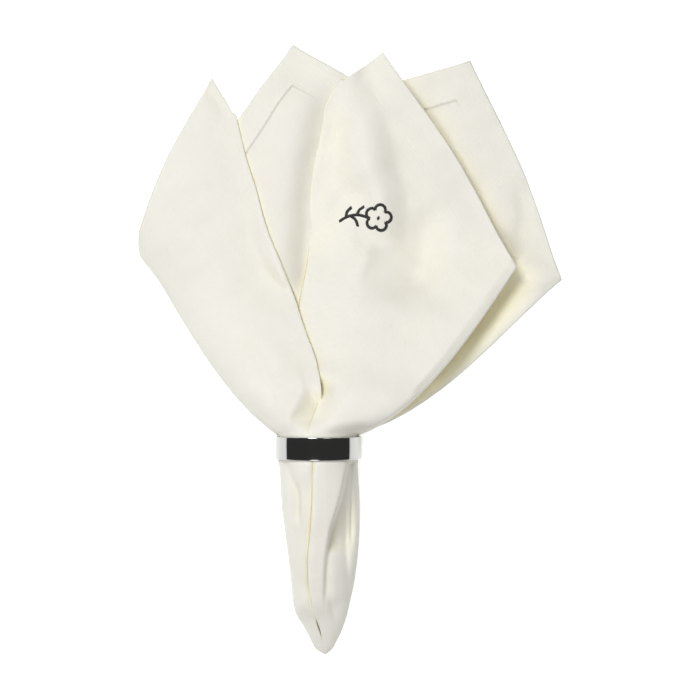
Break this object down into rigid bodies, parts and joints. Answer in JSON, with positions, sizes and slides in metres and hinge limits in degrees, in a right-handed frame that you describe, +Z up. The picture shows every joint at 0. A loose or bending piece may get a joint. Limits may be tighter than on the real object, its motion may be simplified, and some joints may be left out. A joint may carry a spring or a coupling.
{
  "type": "cotton napkin in a ring",
  "caption": "Hemmed off-white cotton napkin, pinched at its middle and drawn through a plain polished metal ring, so its corners fan out.",
  "frame": {"origin": "on the table, under the middle of the box round the napkin and its ring", "axes": "+Z up from the table, +Y from the pointed tail towards the fanned corners"},
  "size_m": [0.2216, 0.3172, 0.0449],
  "materials": {
    "cotton": "plain-woven cotton, matt",
    "metal": "polished"
  },
  "bodies": {
    "root": {"napkin": "cotton", "ring": "metal"}
  },
  "joints": []
}
